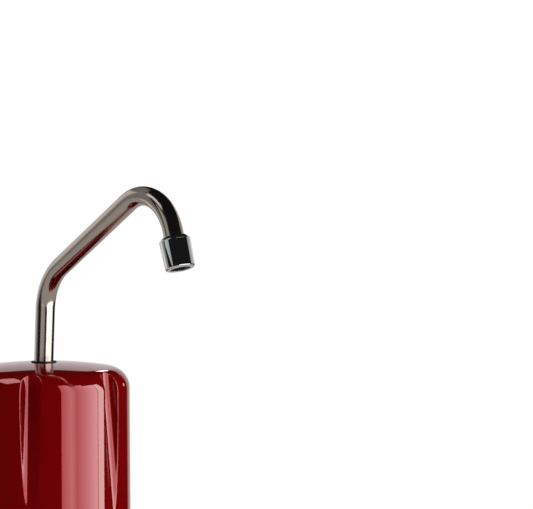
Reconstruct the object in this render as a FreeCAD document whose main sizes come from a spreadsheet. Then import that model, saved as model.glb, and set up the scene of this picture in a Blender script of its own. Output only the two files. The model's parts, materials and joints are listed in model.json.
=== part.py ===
"""Countertop drinking-water filter with a fluted screw-on housing, a swivelling spout and a drop-in cartridge.

Frame: millimetres, +Z up, origin on the counter under the spout stem, -Y the front.
Every sub-part is one object whose sizes are bound to the Size sheet, and its Label names its file.
"""
import FreeCAD, Part
import math
import os
import Sketcher
from FreeCAD import Placement, Rotation, Vector

SIZES = {
    # Housing: a drafted cup, open downwards, with a shallow domed top and a rounded shoulder.
    "apex_height": 300.0,
    "dome_r": 290.0,
    "shoulder_r": 14.0,
    "shell_r": 56.2,
    "shell_foot_r": 57.3,
    "shell_wall": 4.5,
    "cavity_crown_drop": 0.5,
    "cavity_edge_drop": 4.8,
    "core_r": 51.5,
    "rim_round": 0.8,
    # Six flutes run down from the shoulder. Each is a leaning round cut that runs out on the side.
    "flute_count": 6,
    "flute_r": 6.6,
    "flute_lean": 5.31,
    "flute_axis_r": 54.0,
    "flute_depth": 105.0,
    "flute_wall": 4.0,
    # Base: a plinth with a pressure floor and a threaded neck that the housing screws on to.
    "base_bottom": 2.0,
    "base_top": 34.0,
    "base_r": 60.0,
    "base_top_r": 58.6,
    "skirt_wall": 3.5,
    "floor_bottom": 24.0,
    "floor_top": 30.0,
    "neck_inner_r": 44.0,
    "neck_r": 49.2,
    "neck_top": 53.0,
    "land_r": 51.4,
    "land_top": 41.0,
    "seam_gap": 0.8,
    # Thread between the neck and the housing.
    "thread_pitch": 5.0,
    "thread_start": 44.0,
    "thread_rise": 6.0,
    "thread_tip_r": 50.8,
    "thread_gap": 0.4,
    "thread_root_half": 1.5,
    "thread_tip_half": 0.7,
    "thread_bury": 0.3,
    "thread_run_out": 0.6,
    "lead_in": 1.2,
    "lead_in_height": 0.9,
    "bore_step_low": 2.6,
    "bore_step_start": 1.5,
    "bore_step_end": 3.4,
    "land_gap": 0.3,
    # Housing seal.
    "seal_section_r": 1.5,
    "press_gap": 0.05,
    "loose_gap": 0.1,
    "seal_height": 38.0,
    "seal_groove_r": 54.6,
    "seal_groove_half": 1.8,
    # Underside: radial ribs, posts for the rubber feet and an arch for the supply tube.
    "rib_count": 8,
    "rib_thickness": 2.0,
    "rib_bottom": 14.0,
    "rib_inner_r": 24.0,
    "rib_bury": 0.5,
    "arch_width": 18.0,
    "arch_top": 22.0,
    "foot_ring_r": 47.0,
    "foot_r": 7.0,
    "foot_height": 4.0,
    "foot_stem_r": 2.5,
    "foot_stem_top": 9.0,
    "foot_edge": 0.6,
    "foot_stem_gap": 0.2,
    "post_r": 8.0,
    # Supply elbow under the floor, a push fitting for tube of 6.35 outside diameter.
    "inlet_height": 13.0,
    "elbow_r": 7.5,
    "elbow_length": 40.0,
    "stem_r": 6.0,
    "stem_top": 31.0,
    "stem_collar_r": 8.5,
    "stem_washer_height": 1.2,
    "passage_r": 2.5,
    "hose_r": 3.25,
    "hose_stop": 22.0,
    "packing_start": 28.0,
    "packing_middle": 29.5,
    "packing_section_r": 0.9,
    "grab_start": 31.3,
    "grab_end": 31.8,
    "collet_bore_relief": 0.2,
    "collet_bore_start": 31.0,
    "collet_bore_r": 5.0,
    "collet_r": 4.95,
    "collet_start": 34.0,
    "collet_flange_r": 6.2,
    "collet_flange_start": 42.2,
    "collet_end": 44.0,
    # Cartridge.
    "cartridge_r": 38.0,
    "cartridge_wall": 2.0,
    "cap_skirt": 2.0,
    "pad_inset": 2.2,
    "cartridge_bottom": 33.0,
    "cartridge_top": 273.0,
    "cap_height": 8.0,
    "cap_plate": 3.0,
    "cap_hole_r": 2.0,
    "cap_hole_count": 12,
    "inflow_ring_r": 22.0,
    "outflow_ring_r": 6.0,
    "seat_inner_r": 30.0,
    "seat_outer_r": 36.0,
    "gasket_inner_r": 10.0,
    "gasket_outer_r": 16.5,
    "media_gap": 0.1,
    "pad_height": 5.0,
    "alloy_height": 42.0,
    "carbon_height": 118.0,
    # Spout socket in the boss under the apex.
    "boss_r": 17.0,
    "boss_bottom": 276.0,
    "socket_r": 7.65,
    "bush_seat_r": 8.27,
    "bush_seat_height": 292.0,
    "bush_r": 8.25,
    "bush_bore_r": 6.42,
    "bush_proud": 0.6,
    "bush_edge": 0.4,
    "washer_clear": 0.15,
    # Spout: a round tube bent in one plane, in steps of length, bend radius and slope in degrees.
    "tube_r": 6.35,
    "tube_wall": 0.9,
    "tube_bottom": 285.0,
    "straight_top": 300.3,
    "stem_lean": 3.3,
    "stem_bend_r": 60.0,
    "stem_length": 30.6,
    "elbow_bend_r": 36.0,
    "arm_slope": 30.5,
    "arm_length": 84.2,
    "tip_bend_r": 31.0,
    "tip_slope": 72.5,
    "tip_length": 23.6,
    "spout_yaw": 14.1,
    # Spout ferrule.
    "ferrule_bottom": 277.5,
    "ferrule_top": 291.0,
    "ferrule_r": 7.6,
    "ferrule_groove_r": 6.2,
    "ferrule_passage_r": 4.0,
    "ferrule_edge": 0.5,
    "braze_gap": 0.02,
    "ring_section_r": 0.7,
    "ring_half": 1.0,
    "ring_low": 279.8,
    "ring_high": 282.8,
    # Aerator, measured up its own axis from the outlet face.
    "aerator_mouth_r": 9.2,
    "aerator_r": 9.8,
    "aerator_shoulder": 18.2,
    "aerator_length": 20.5,
    "aerator_top_r": 7.6,
    "aerator_mouth_round": 1.6,
    "aerator_bore_r": 8.05,
    "aerator_lip": 1.5,
    "aerator_lip_r": 6.2,
    "aerator_tube_gap": 0.15,
    "aerator_edge": 0.3,
    "aerator_shoulder_edge": 0.6,
    "adapter_start": 11.0,
    "aerator_washer_start": 9.5,
    "aerator_screen_top": 9.4,
    "aerator_screen_start": 8.9,
    "aerator_screen_hole_r": 1.0,
    "insert_top": 8.8,
    "insert_floor": 6.0,
    "insert_wall": 1.6,
}

doc = FreeCAD.newDocument("CountertopWaterFilter")


def make_sheet():
    sheet = doc.addObject("Spreadsheet::Sheet", "Size")
    for row, (alias, value) in enumerate(SIZES.items(), start=1):
        sheet.set(f"A{row}", alias)
        sheet.set(f"B{row}", str(value))
        sheet.setAlias(f"B{row}", alias)
    doc.recompute()
    return sheet


size = make_sheet()


def new_body(name):
    body = doc.addObject("PartDesign::Body", name)
    body.Label = name
    return body


def origin_plane(body, role):
    return next(item for item in body.Origin.OriginFeatures if item.Role == role)


def new_sketch(body, name, role="XZ_Plane"):
    sketch = body.newObject("Sketcher::SketchObject", name)
    sketch.AttachmentSupport = [(origin_plane(body, role), "")]
    sketch.MapMode = "FlatFace"
    return sketch


def bind_point(sketch, geometry, point, drawn, across, up):
    """Ties a point, drawn at a first place, to two expressions measured from the sketch's origin."""
    for kind, value, expression in (("DistanceX", drawn.x, across), ("DistanceY", drawn.y, up)):
        index = sketch.addConstraint(Sketcher.Constraint(kind, -1, 1, geometry, point, value))
        sketch.setExpression(f"Constraints[{index}]", expression)


def add_loop(sketch, corners):
    """A closed loop of straight sides through corners, which are pairs of expressions."""
    count = len(corners)
    turn = 2 * math.pi / count
    start = [Vector(60 + 40 * math.cos(turn * i), 60 + 40 * math.sin(turn * i), 0) for i in range(count)]
    first = sketch.GeometryCount
    for i in range(count):
        sketch.addGeometry(Part.LineSegment(start[i], start[(i + 1) % count]))
    for i in range(count):
        following = first + (i + 1) % count
        sketch.addConstraint(Sketcher.Constraint("Coincident", first + i, 2, following, 1))
        bind_point(sketch, first + i, 1, start[i], *corners[i])


def revolve(body, sketch, name="Turned"):
    feature = body.newObject("PartDesign::Revolution", name)
    feature.Profile = sketch
    feature.ReferenceAxis = (sketch, ["V_Axis"])
    feature.Angle = 360
    return feature


def turned(name, corners):
    """A body turned about Z from an outline of (radius, height) expressions."""
    body = new_body(name)
    sketch = new_sketch(body, f"{name}_outline")
    add_loop(sketch, corners)
    revolve(body, sketch)
    doc.recompute()
    return body


def sleeve(name, inner, outer, bottom, top):
    return turned(name, [(inner, bottom), (outer, bottom), (outer, top), (inner, top)])


def disc(name, radius, bottom, top):
    cylinder = doc.addObject("Part::Cylinder", name)
    cylinder.Label = name
    cylinder.setExpression("Radius", radius)
    cylinder.setExpression("Height", f"({top}) - ({bottom})")
    cylinder.setExpression("Placement.Base.z", bottom)
    return cylinder


def ring(name, centre_r, section_r, height):
    torus = doc.addObject("Part::Torus", name)
    torus.Label = name
    torus.setExpression("Radius1", centre_r)
    torus.setExpression("Radius2", section_r)
    torus.setExpression("Placement.Base.z", height)
    return torus


def round_cut(body, name, radius, bottom, top, offset="0 mm"):
    """Removes a vertical cylinder whose axis stands offset along X from the body's own axis."""
    before = body.Tip.Shape.Volume
    cut = body.newObject("PartDesign::SubtractiveCylinder", name)
    cut.setExpression("Radius", radius)
    cut.setExpression("Height", f"({top}) - ({bottom})")
    cut.setExpression("Placement.Base.x", offset)
    cut.setExpression("Placement.Base.z", bottom)
    doc.recompute()
    if cut.Shape.Volume >= before:
        raise RuntimeError(f"{name} removes nothing")
    return cut


def polar(body, feature, count, name):
    """Repeats one feature count times about the body's Z axis."""
    axis = next(item for item in body.Origin.OriginFeatures if item.Role == "Z_Axis")
    pattern = body.newObject("PartDesign::PolarPattern", name)
    pattern.Originals = [feature]
    pattern.Axis = (axis, [""])
    pattern.Angle = 360
    pattern.setExpression("Occurrences", count)
    body.Tip = pattern
    doc.recompute()
    return pattern


def dress(body, kind, name, amount, places):
    """Adds a Fillet or a Chamfer of amount on the tip's circular edges about Z at (radius, height) places."""
    base = body.Tip
    names = []
    for index, edge in enumerate(base.Shape.Edges, start=1):
        if edge.Degenerated or edge.Curve.TypeId != "Part::GeomCircle":
            continue
        centre = edge.Curve.Center
        for radius, height in places:
            if abs(edge.Curve.Radius - radius) < 0.02 and abs(centre.z - height) < 0.02:
                names.append(f"Edge{index}")
    if len(names) < len(places):
        raise RuntimeError(f"{body.Label}: {name} finds {len(names)} edges for {len(places)} places")
    feature = body.newObject(f"PartDesign::{kind}", name)
    feature.Base = (base, names)
    feature.setExpression("Radius" if kind == "Fillet" else "Size", amount)
    doc.recompute()
    return feature


def add_thread(body, name, root, tip, root_half, tip_half, start, rise):
    """A right-handed helical ridge: a trapezoid of the given half widths, swept up by rise."""
    sketch = new_sketch(body, f"{name}_section")
    corners = [
        (root, f"{start} - ({root_half})"),
        (tip, f"{start} - ({tip_half})"),
        (tip, f"{start} + ({tip_half})"),
        (root, f"{start} + ({root_half})"),
    ]
    add_loop(sketch, corners)
    doc.recompute()
    helix = body.newObject("PartDesign::AdditiveHelix", name)
    helix.Profile = sketch
    helix.ReferenceAxis = (sketch, ["V_Axis"])
    helix.Mode = "pitch-height-angle"
    helix.setExpression("Pitch", "Size.thread_pitch")
    helix.setExpression("Height", rise)
    helix.Angle = 0
    helix.LeftHanded = False
    doc.recompute()
    return helix


def leaning_cylinder(body, kind, name, radius):
    """A cylinder along a flute: its axis leans outwards going down, in the XZ plane."""
    cylinder = body.newObject(f"PartDesign::{kind}", name)
    cylinder.setExpression("Radius", radius)
    cylinder.setExpression("Height", "Size.flute_depth + 30")
    cylinder.Placement = Placement(Vector(0, 0, 0), Rotation(Vector(0, -1, 0), size.flute_lean))
    foot_r = "Size.flute_axis_r + Size.flute_depth * tan(Size.flute_lean * 1 deg)"
    cylinder.setExpression("Placement.Base.x", foot_r)
    cylinder.setExpression("Placement.Base.z", "Size.apex_height - Size.flute_depth")
    cylinder.setExpression("Placement.Rotation.Angle", "Size.flute_lean * 1 deg")
    doc.recompute()
    return cylinder


def housing_outer(body):
    """The solid outer form: a drafted side, the dome as an arc about the axis, and the shoulder."""
    sketch = new_sketch(body, "Dome_outline")
    bottom = "Size.base_top + Size.seam_gap"
    corner_height = "Size.apex_height - Size.dome_r + sqrt(pow(Size.dome_r; 2) - pow(Size.shell_r; 2))"
    corner_guess = size.apex_height - size.dome_r + math.sqrt(size.dome_r**2 - size.shell_r**2)
    bottom_guess = size.base_top + size.seam_gap
    points = [
        Vector(0, bottom_guess, 0),
        Vector(size.shell_foot_r, bottom_guess, 0),
        Vector(size.shell_r, corner_guess, 0),
        Vector(0, size.apex_height, 0),
    ]
    centre = Vector(0, size.apex_height - size.dome_r, 0)
    edge_angle = math.atan2(corner_guess - centre.y, size.shell_r)
    circle = Part.Circle(centre, Vector(0, 0, 1), size.dome_r)
    sketch.addGeometry(Part.LineSegment(points[0], points[1]))
    sketch.addGeometry(Part.LineSegment(points[1], points[2]))
    sketch.addGeometry(Part.ArcOfCircle(circle, edge_angle, math.pi / 2))
    sketch.addGeometry(Part.LineSegment(points[3], points[0]))
    for first, first_point, second, second_point in ((0, 2, 1, 1), (1, 2, 2, 1), (2, 2, 3, 1), (3, 2, 0, 1)):
        sketch.addConstraint(Sketcher.Constraint("Coincident", first, first_point, second, second_point))
    bind_point(sketch, 0, 1, points[0], "0", bottom)
    bind_point(sketch, 1, 1, points[1], "Size.shell_foot_r", bottom)
    bind_point(sketch, 2, 1, points[2], "Size.shell_r", corner_height)
    bind_point(sketch, 2, 3, centre, "0", "Size.apex_height - Size.dome_r")
    sketch.addConstraint(Sketcher.Constraint("PointOnObject", 2, 2, -2))
    revolve(body, sketch, "Dome")
    doc.recompute()
    dress(body, "Fillet", "Shoulder", "Size.shoulder_r", [(size.shell_r, corner_guess)])


def housing_core():
    """The hollow of the housing: seal land, thread bore, cavity and the space round the spout boss."""
    cavity_top = "Size.apex_height - Size.shell_wall - Size.cavity_crown_drop"
    cavity_edge = "Size.apex_height - Size.shell_wall - Size.cavity_edge_drop"
    land_bore = "Size.land_r + Size.land_gap"
    thread_bore = "Size.neck_r + Size.thread_gap"
    groove_low = "Size.seal_height - Size.seal_groove_half"
    groove_high = "Size.seal_height + Size.seal_groove_half"
    core = turned("HousingCore", [
        ("0", "Size.base_top"),
        ("Size.land_r + Size.lead_in", "Size.base_top"),
        ("Size.land_r + Size.lead_in", "Size.base_top + Size.seam_gap"),
        (land_bore, "Size.base_top + Size.seam_gap + Size.lead_in_height"),
        (land_bore, groove_low),
        ("Size.seal_groove_r", groove_low),
        ("Size.seal_groove_r", groove_high),
        (land_bore, groove_high),
        (land_bore, "Size.land_top + 1"),
        (thread_bore, "Size.land_top + Size.bore_step_low"),
        (thread_bore, "Size.neck_top + Size.bore_step_start"),
        ("Size.core_r", "Size.neck_top + Size.bore_step_end"),
        ("Size.core_r", cavity_edge),
        ("Size.boss_r", cavity_top),
        ("Size.boss_r", "Size.boss_bottom"),
        ("0", "Size.boss_bottom"),
    ])
    edge_height = size.apex_height - size.shell_wall - size.cavity_edge_drop
    dress(core, "Fillet", "CavityShoulder", "Size.shoulder_r - Size.shell_wall", [(size.core_r, edge_height)])
    backing = leaning_cylinder(core, "SubtractiveCylinder", "FluteBacking", "Size.flute_r + Size.flute_wall")
    polar(core, backing, "Size.flute_count", "FluteBackings")
    turn_below = "Size.thread_start - Size.thread_pitch"
    add_thread(core, "HousingThread", f"{thread_bore} - Size.thread_bury",
               "Size.thread_tip_r + Size.thread_gap", "Size.thread_root_half + Size.thread_gap",
               "Size.thread_tip_half + Size.thread_gap", turn_below,
               "Size.thread_rise + Size.thread_pitch + Size.thread_run_out")
    return core


def make_housing_shell():
    body = new_body("housing_shell")
    housing_outer(body)
    dress(body, "Chamfer", "RimEdge", "Size.rim_round",
          [(size.shell_foot_r, size.base_top + size.seam_gap)])
    flute = leaning_cylinder(body, "SubtractiveCylinder", "Flute", "Size.flute_r")
    polar(body, flute, "Size.flute_count", "Flutes")
    hollow = body.newObject("PartDesign::Boolean", "Hollow")
    hollow.Type = "Cut"
    hollow.setObjects([housing_core()])
    body.Tip = hollow
    doc.recompute()
    round_cut(body, "SpoutSocket", "Size.socket_r", "Size.boss_bottom - 1", "Size.bush_seat_height")
    round_cut(body, "BushSeat", "Size.bush_seat_r", "Size.bush_seat_height", "Size.apex_height + 1")
    return body


def make_base_body():
    body = turned("base_body", [
        ("0", "Size.floor_bottom"),
        ("Size.base_top_r - Size.skirt_wall", "Size.floor_bottom"),
        ("Size.base_r - Size.skirt_wall", "Size.base_bottom"),
        ("Size.base_r", "Size.base_bottom"),
        ("Size.base_top_r", "Size.base_top"),
        ("Size.land_r", "Size.base_top"),
        ("Size.land_r", "Size.land_top"),
        ("Size.neck_r", "Size.land_top + 1"),
        ("Size.neck_r", "Size.neck_top"),
        ("Size.neck_inner_r", "Size.neck_top"),
        ("Size.neck_inner_r", "Size.floor_top"),
        ("0", "Size.floor_top"),
    ])
    dress(body, "Fillet", "BaseEdge", "Size.rim_round",
          [(size.base_top_r, size.base_top), (size.base_r, size.base_bottom)])
    add_thread(body, "NeckThread", "Size.neck_r - Size.thread_bury", "Size.thread_tip_r",
               "Size.thread_root_half", "Size.thread_tip_half", "Size.thread_start", "Size.thread_rise")
    add_underside(body)
    round_cut(body, "InletHole", "Size.stem_r + Size.press_gap", "Size.floor_bottom - 1", "Size.floor_top + 1")
    return body


def add_underside(body):
    """Ribs and foot posts under the floor, then the arch in the back of the skirt."""
    rib = body.newObject("PartDesign::AdditiveBox", "Rib")
    rib.setExpression("Length", "Size.base_top_r - Size.skirt_wall + Size.rib_bury - Size.rib_inner_r")
    rib.setExpression("Width", "Size.rib_thickness")
    rib.setExpression("Height", "Size.floor_bottom - Size.rib_bottom + 1")
    turn = math.radians(180 / size.rib_count)
    middle = Vector(size.rib_inner_r * math.cos(turn), size.rib_inner_r * math.sin(turn), size.rib_bottom)
    half = size.rib_thickness / 2
    side = Vector(math.sin(turn) * half, -math.cos(turn) * half, 0)
    rib.Placement = Placement(middle + side, Rotation(Vector(0, 0, 1), math.degrees(turn)))
    doc.recompute()
    polar(body, rib, "Size.rib_count", "Ribs")
    post = body.newObject("PartDesign::AdditiveCylinder", "Post")
    post.setExpression("Radius", "Size.post_r")
    post.setExpression("Height", "Size.floor_bottom - Size.foot_height + 1")
    post.setExpression("Placement.Base.x", "Size.foot_ring_r * cos(45 deg)")
    post.setExpression("Placement.Base.y", "Size.foot_ring_r * sin(45 deg)")
    post.setExpression("Placement.Base.z", "Size.foot_height")
    doc.recompute()
    polar(body, post, "4", "Posts")
    socket = body.newObject("PartDesign::SubtractiveCylinder", "StemHole")
    socket.setExpression("Radius", "Size.foot_stem_r")
    socket.setExpression("Height", "Size.foot_stem_top - Size.foot_height")
    socket.setExpression("Placement.Base.x", "Size.foot_ring_r * cos(45 deg)")
    socket.setExpression("Placement.Base.y", "Size.foot_ring_r * sin(45 deg)")
    socket.setExpression("Placement.Base.z", "Size.foot_height")
    doc.recompute()
    polar(body, socket, "4", "StemHoles")
    arch_sides(body)


def arch_sides(body):
    """A round-topped opening through the back of the skirt, for the supply tube."""
    before = body.Tip.Shape.Volume
    slot = body.newObject("PartDesign::SubtractiveBox", "ArchSlot")
    slot.setExpression("Length", "Size.arch_width")
    slot.setExpression("Width", "Size.skirt_wall + 4")
    slot.setExpression("Height", "Size.arch_top - Size.arch_width / 2 - Size.base_bottom + 1")
    slot.setExpression("Placement.Base.x", "-Size.arch_width / 2")
    slot.setExpression("Placement.Base.y", "Size.base_r - Size.skirt_wall - 3")
    slot.setExpression("Placement.Base.z", "Size.base_bottom - 1")
    doc.recompute()
    crown = body.newObject("PartDesign::SubtractiveCylinder", "ArchCrown")
    crown.setExpression("Radius", "Size.arch_width / 2")
    crown.setExpression("Height", "Size.skirt_wall + 4")
    crown.setExpression("Placement.Base.y", "Size.base_r + 1")
    crown.setExpression("Placement.Base.z", "Size.arch_top - Size.arch_width / 2")
    crown.Placement.Rotation = Rotation(Vector(1, 0, 0), 90)
    doc.recompute()
    if crown.Shape.Volume >= before:
        raise RuntimeError("the arch removes nothing")


def make_feet():
    """Four rubber feet, each a disc with a stem pressed into its post."""
    feet = []
    for number, turn in enumerate((45, 135, 225, 315), start=1):
        foot = turned(f"rubber_foot_{number}", [
            ("0", "0"),
            ("Size.foot_r - Size.foot_edge", "0"),
            ("Size.foot_r", "Size.foot_edge"),
            ("Size.foot_r", "Size.foot_height"),
            ("Size.foot_stem_r - Size.press_gap", "Size.foot_height"),
            ("Size.foot_stem_r - Size.press_gap", "Size.foot_stem_top - Size.foot_stem_gap"),
            ("0", "Size.foot_stem_top - Size.foot_stem_gap"),
        ])
        foot.setExpression("Placement.Base.x", f"Size.foot_ring_r * cos({turn} deg)")
        foot.setExpression("Placement.Base.y", f"Size.foot_ring_r * sin({turn} deg)")
        feet.append(foot)
    return feet


def lay_back(item):
    """Turns a piece made about Z so that its axis runs back along +Y at the inlet's height."""
    item.Placement = Placement(Vector(0, 0, size.inlet_height), Rotation(Vector(1, 0, 0), -90))
    item.setExpression("Placement.Base.z", "Size.inlet_height")
    return item


def make_inlet_elbow():
    """The arm is turned about its own axis, and the stem stands across its closed end."""
    body = turned("inlet_elbow", [
        ("0", "-Size.elbow_r"),
        ("Size.elbow_r", "-Size.elbow_r"),
        ("Size.elbow_r", "Size.elbow_length"),
        ("Size.collet_bore_r", "Size.elbow_length"),
        ("Size.collet_bore_r", "Size.collet_bore_start"),
        ("Size.collet_bore_r + Size.collet_bore_relief", "Size.collet_bore_start"),
        ("Size.collet_bore_r + Size.collet_bore_relief", "Size.packing_start"),
        ("Size.hose_r", "Size.packing_start"),
        ("Size.hose_r", "Size.hose_stop"),
        ("Size.passage_r", "Size.hose_stop"),
        ("Size.passage_r", "-Size.passage_r"),
        ("0", "-Size.passage_r"),
    ])
    collar = cross_cylinder(body, "AdditiveCylinder", "StemCollar", "Size.stem_collar_r", "0",
                            "Size.floor_bottom - Size.stem_washer_height - Size.inlet_height")
    stem = cross_cylinder(body, "AdditiveCylinder", "Stem", "Size.stem_r", "0",
                          "Size.stem_top - Size.inlet_height")
    bore = cross_cylinder(body, "SubtractiveCylinder", "StemBore", "Size.passage_r", "0",
                          "Size.stem_top - Size.inlet_height + 1")
    if not bore.Shape.Volume < stem.Shape.Volume or not collar.Shape.Volume < stem.Shape.Volume:
        raise RuntimeError("the elbow's stem is not whole")
    return lay_back(body)


def cross_cylinder(body, kind, name, radius, start, length):
    """A cylinder across the body's own axis, along its -Y, which points up once laid back."""
    cylinder = body.newObject(f"PartDesign::{kind}", name)
    cylinder.setExpression("Radius", radius)
    cylinder.setExpression("Height", length)
    cylinder.Placement = Placement(Vector(0, 0, 0), Rotation(Vector(1, 0, 0), 90))
    doc.recompute()
    return cylinder


def make_inlet():
    collet = turned("inlet_collet", [
        ("Size.hose_r", "Size.collet_start"),
        ("Size.collet_r", "Size.collet_start"),
        ("Size.collet_r", "Size.collet_flange_start"),
        ("Size.collet_flange_r", "Size.collet_flange_start"),
        ("Size.collet_flange_r", "Size.collet_end"),
        ("Size.hose_r", "Size.collet_end"),
    ])
    packing_r = "Size.hose_r + Size.packing_section_r + Size.press_gap"
    packing = ring("inlet_o_ring", packing_r, "Size.packing_section_r", "0")
    grab = sleeve("inlet_grab_ring", "Size.hose_r + Size.loose_gap", "Size.collet_bore_r", "Size.grab_start",
                  "Size.grab_end")
    washer = sleeve("inlet_stem_washer", "Size.stem_r + Size.loose_gap", "Size.stem_collar_r",
                    "Size.floor_bottom - Size.stem_washer_height", "Size.floor_bottom")
    packing.Placement = Placement(Vector(0, size.packing_middle, size.inlet_height),
                                  Rotation(Vector(1, 0, 0), -90))
    packing.setExpression("Placement.Base.y", "Size.packing_middle")
    packing.setExpression("Placement.Base.z", "Size.inlet_height")
    return [make_inlet_elbow(), lay_back(collet), packing, lay_back(grab), washer]


def make_caps():
    """The two caps: each a plate with a ring of holes, and a skirt inside the end of the shell."""
    skirt_r = "Size.cartridge_r - Size.cartridge_wall - Size.press_gap"
    inner_r = f"{skirt_r} - Size.cap_skirt"
    low = "Size.cartridge_bottom"
    low_plate = "Size.cartridge_bottom + Size.cap_plate"
    low_skirt = "Size.cartridge_bottom + Size.cap_height"
    bottom = turned("cartridge_bottom_cap", [
        ("0", low), ("Size.cartridge_r", low), ("Size.cartridge_r", low_plate), (skirt_r, low_plate),
        (skirt_r, low_skirt), (inner_r, low_skirt), (inner_r, low_plate), ("0", low_plate),
    ])
    hole = round_cut(bottom, "Hole", "Size.cap_hole_r", f"{low} - 1", f"{low_plate} + 1", "Size.inflow_ring_r")
    polar(bottom, hole, "Size.cap_hole_count", "Holes")
    high = "Size.cartridge_top"
    high_plate = "Size.cartridge_top - Size.cap_plate"
    high_skirt = "Size.cartridge_top - Size.cap_height"
    top = turned("cartridge_top_cap", [
        ("0", high_plate), (inner_r, high_plate), (inner_r, high_skirt), (skirt_r, high_skirt),
        (skirt_r, high_plate), ("Size.cartridge_r", high_plate), ("Size.cartridge_r", high), ("0", high),
    ])
    hole = round_cut(top, "Hole", "Size.cap_hole_r", f"{high_plate} - 1", f"{high} + 1", "Size.outflow_ring_r")
    polar(top, hole, "Size.cap_hole_count / 2", "Holes")
    return [bottom, top]


def make_cartridge():
    """The cartridge: shell, caps, seals and, from the bottom up, the layers that the water passes."""
    gap = "Size.media_gap"
    media_r = "Size.cartridge_r - Size.cartridge_wall - Size.media_gap"
    pad_r = f"{media_r} - Size.pad_inset"
    layers = [
        ("lower_sediment_pad", pad_r, "Size.pad_height"),
        ("copper_zinc_media", media_r, "Size.alloy_height"),
        ("middle_pad", media_r, "Size.pad_height"),
        ("carbon_media", media_r, "Size.carbon_height"),
    ]
    pieces = make_caps()
    pieces.append(sleeve("cartridge_shell", "Size.cartridge_r - Size.cartridge_wall", "Size.cartridge_r",
                         "Size.cartridge_bottom + Size.cap_plate", "Size.cartridge_top - Size.cap_plate"))
    pieces.append(sleeve("cartridge_seat_ring", "Size.seat_inner_r", "Size.seat_outer_r", "Size.floor_top",
                         "Size.cartridge_bottom"))
    pieces.append(sleeve("cartridge_top_gasket", "Size.gasket_inner_r", "Size.gasket_outer_r",
                         "Size.cartridge_top", "Size.boss_bottom - Size.loose_gap"))
    bottom = f"Size.cartridge_bottom + Size.cap_plate + {gap}"
    for name, radius, height in layers:
        pieces.append(disc(name, radius, bottom, f"{bottom} + {height}"))
        bottom = f"{bottom} + {height} + {gap}"
    pad_top = f"Size.cartridge_top - Size.cap_plate - {gap}"
    pad_bottom = f"{pad_top} - Size.pad_height"
    pieces.append(disc("mineral_media", media_r, bottom, f"{pad_bottom} - {gap}"))
    pieces.append(disc("upper_sediment_pad", pad_r, pad_bottom, pad_top))
    return pieces


def make_socket_pieces():
    """What stays in the housing round the spout: the bush in its seat and a slip washer under it."""
    top = "Size.apex_height + Size.bush_proud"
    bush = turned("spout_bush", [
        ("Size.bush_bore_r", "Size.bush_seat_height"),
        ("Size.bush_r", "Size.bush_seat_height"),
        ("Size.bush_r", f"{top} - Size.bush_edge"),
        ("Size.bush_r - Size.bush_edge", top),
        ("Size.bush_bore_r", top),
    ])
    washer = sleeve("spout_slip_washer", "Size.tube_r + Size.washer_clear", "Size.socket_r - Size.press_gap",
                    "Size.ferrule_top + Size.press_gap", "Size.bush_seat_height - Size.press_gap")
    return [bush, washer]


def make_ferrule():
    """The ferrule closes the tube's lower end and carries two sealing rings in its grooves."""
    low, high, half = "Size.ring_low", "Size.ring_high", "Size.ring_half"
    body_r, groove_r, cup_r = "Size.ferrule_r", "Size.ferrule_groove_r", "Size.tube_r + Size.braze_gap"
    ferrule = turned("spout_ferrule", [
        ("Size.ferrule_passage_r", "Size.ferrule_bottom"),
        (f"{body_r} - Size.ferrule_edge", "Size.ferrule_bottom"),
        (body_r, "Size.ferrule_bottom + Size.ferrule_edge"),
        (body_r, f"{low} - {half}"),
        (groove_r, f"{low} - {half}"),
        (groove_r, f"{low} + {half}"),
        (body_r, f"{low} + {half}"),
        (body_r, f"{high} - {half}"),
        (groove_r, f"{high} - {half}"),
        (groove_r, f"{high} + {half}"),
        (body_r, f"{high} + {half}"),
        (body_r, "Size.ferrule_top"),
        (cup_r, "Size.ferrule_top"),
        (cup_r, "Size.tube_bottom"),
        ("Size.ferrule_passage_r", "Size.tube_bottom"),
    ])
    centre_r = "Size.ferrule_groove_r + Size.ring_section_r + Size.braze_gap"
    rings = [
        ring("spout_o_ring_lower", centre_r, "Size.ring_section_r", low),
        ring("spout_o_ring_upper", centre_r, "Size.ring_section_r", high),
    ]
    return [ferrule] + rings


def spout_path():
    """The tube's centreline in its own plane, as (kind, points): straight runs and right-hand arcs."""
    place = Vector(0, size.tube_bottom, 0)
    heading = 90.0
    tip_run = size.tip_length - size.adapter_start
    steps = [
        (size.straight_top - size.tube_bottom, size.stem_bend_r, size.stem_lean),
        (size.stem_length, size.elbow_bend_r, 90 - size.stem_lean - size.arm_slope),
        (size.arm_length, size.tip_bend_r, size.arm_slope + size.tip_slope),
        (tip_run, 0, 0),
    ]
    pieces = []
    for run, bend_r, turn in steps:
        forward = Vector(math.cos(math.radians(heading)), math.sin(math.radians(heading)), 0)
        end = place + forward * run
        pieces.append(("run", place, end))
        if not turn:
            return pieces, end, heading
        centre = end + Vector(forward.y, -forward.x, 0) * bend_r
        heading -= turn
        left = Vector(-math.sin(math.radians(heading)), math.cos(math.radians(heading)), 0)
        place = centre + left * bend_r
        pieces.append(("bend", centre, bend_r, heading + 90, heading + 90 + turn))
    return pieces, place, heading


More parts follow.
